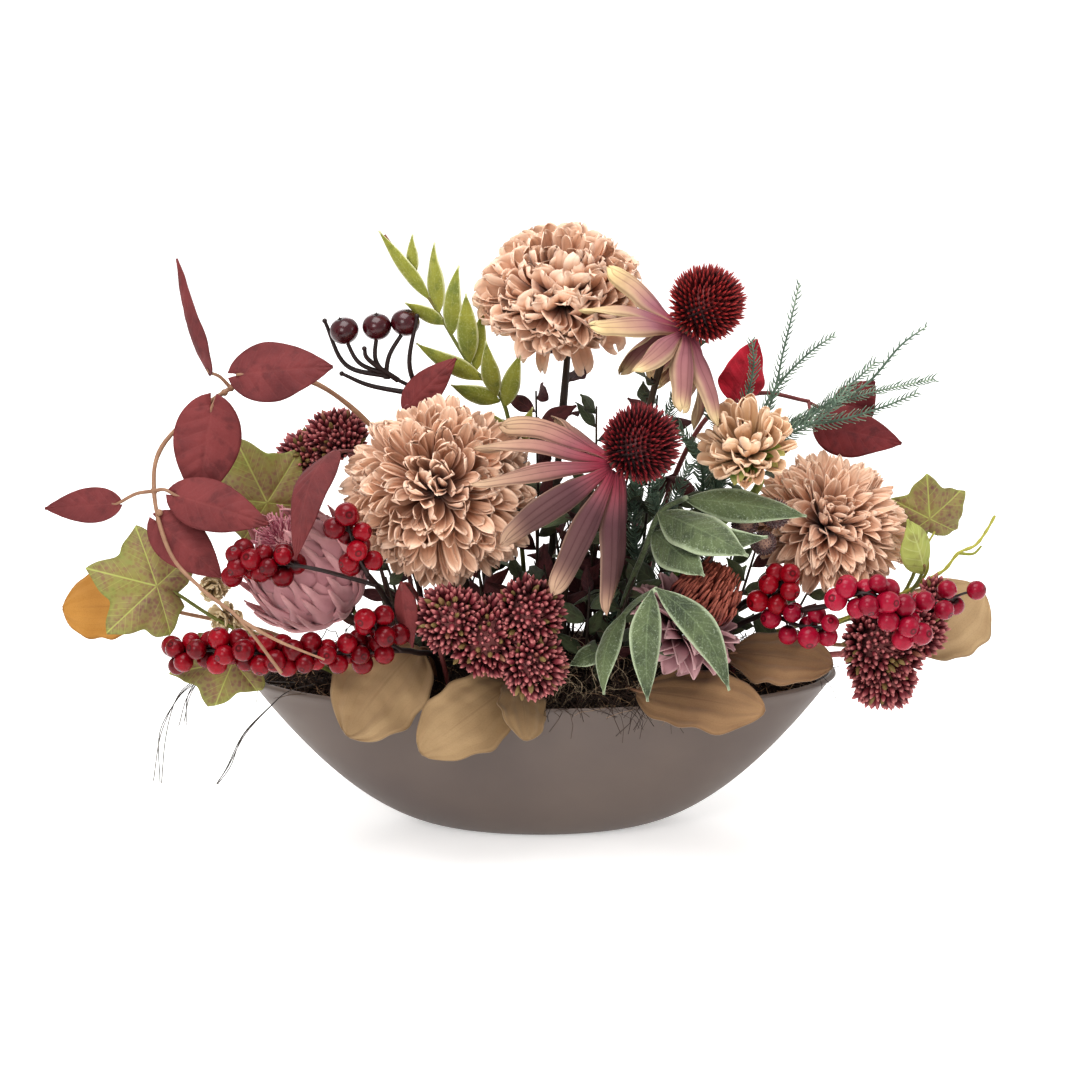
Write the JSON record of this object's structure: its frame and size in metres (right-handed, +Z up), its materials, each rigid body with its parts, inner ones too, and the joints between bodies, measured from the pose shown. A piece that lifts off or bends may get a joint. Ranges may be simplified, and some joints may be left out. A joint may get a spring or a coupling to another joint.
{
  "type": "floral table centrepiece",
  "caption": "Low table centrepiece: artificial autumn flowers, leaves and berries standing in foam and moss in an oval bowl with a flat foot.",
  "frame": {"origin": "centre of the underside of the bowl's foot", "axes": "+Z up, +X along the bowl, -Y towards the side that faces the room"},
  "size_m": [0.4601, 0.2003, 0.3043],
  "materials": {
    "bowl": "matte taupe glaze",
    "foam": "cut foam",
    "moss": "tangled dark fibre",
    "stem": "moulded over wire",
    "blush_fabric": "soft matte petals",
    "mauve_fabric": "ribbed matte petals",
    "cone": "moulded spikes",
    "protea_fabric": "dusty bracts",
    "stamen": "fine fibre tuft",
    "sedum": "small moulded buds",
    "berry": "glossy",
    "dark_berry": "glossy",
    "burgundy_fabric": "matte leaf cloth",
    "ivy_fabric": "printed leaf cloth",
    "tan_fabric": "felt-like leaf cloth",
    "sage_fabric": "flocked leaf cloth",
    "lime": "frosted leaves",
    "fern": "moulded needles",
    "pod": "matte"
  },
  "bodies": {
    "root": {"back_leaf": "burgundy_fabric", "berry_spray_left_high": "berry", "berry_spray_left_low": "berry", "berry_spray_right_front": "berry", "berry_spray_right_inner": "berry", "bowl": "bowl", "coneflower_front_cone": "cone", "coneflower_front_petals": "mauve_fabric", "coneflower_front_stem": "stem", "coneflower_top_cone": "cone", "coneflower_top_petals": "mauve_fabric", "coneflower_top_stem": "stem", "crimson_leaf": "burgundy_fabric", "curled_leaf": "burgundy_fabric", "dark_berry_branch": "dark_berry", "fern_sprig": "fern", "foam_block": "foam", "green_sprig": "lime", "hanging_leaf": "burgundy_fabric", "ivy_leaf_left": "ivy_fabric", "ivy_leaf_lower": "ivy_fabric", "ivy_leaf_right": "ivy_fabric", "ivy_leaf_right_low": "ivy_fabric", "ivy_leaf_upper": "ivy_fabric", "lambs_ear_lower": "sage_fabric", "lambs_ear_upper": "sage_fabric", "moss_mat": "moss", "mum_bud": "blush_fabric", "mum_left_head": "blush_fabric", "mum_left_stem": "stem", "mum_right_head": "blush_fabric", "mum_right_stem": "stem", "mum_top_head": "blush_fabric", "mum_top_stem": "stem", "protea_left": "protea_fabric", "protea_right_bracts": "protea_fabric", "protea_right_stamens": "stamen", "protea_right_stem": "stem", "red_leaf_branch": "burgundy_fabric", "red_leaf_high": "burgundy_fabric", "red_leaf_low": "burgundy_fabric", "sedum_front": "sedum", "sedum_left": "sedum", "sedum_right": "sedum", "seed_pods": "pod", "tan_leaf_back_left": "tan_fabric", "tan_leaf_back_right": "tan_fabric", "tan_leaf_far_left": "tan_fabric", "tan_leaf_far_right": "tan_fabric", "tan_leaf_front": "tan_fabric", "tan_leaf_front_left": "tan_fabric", "tan_leaf_front_right": "tan_fabric", "tan_leaf_under_protea": "tan_fabric", "vine_leaf_far": "burgundy_fabric", "vine_leaf_heart": "burgundy_fabric", "vine_leaf_low": "burgundy_fabric", "vine_leaf_middle": "burgundy_fabric", "vine_leaf_round": "burgundy_fabric", "vine_leaf_top": "burgundy_fabric", "vine_stem": "stem"}
  },
  "joints": []
}
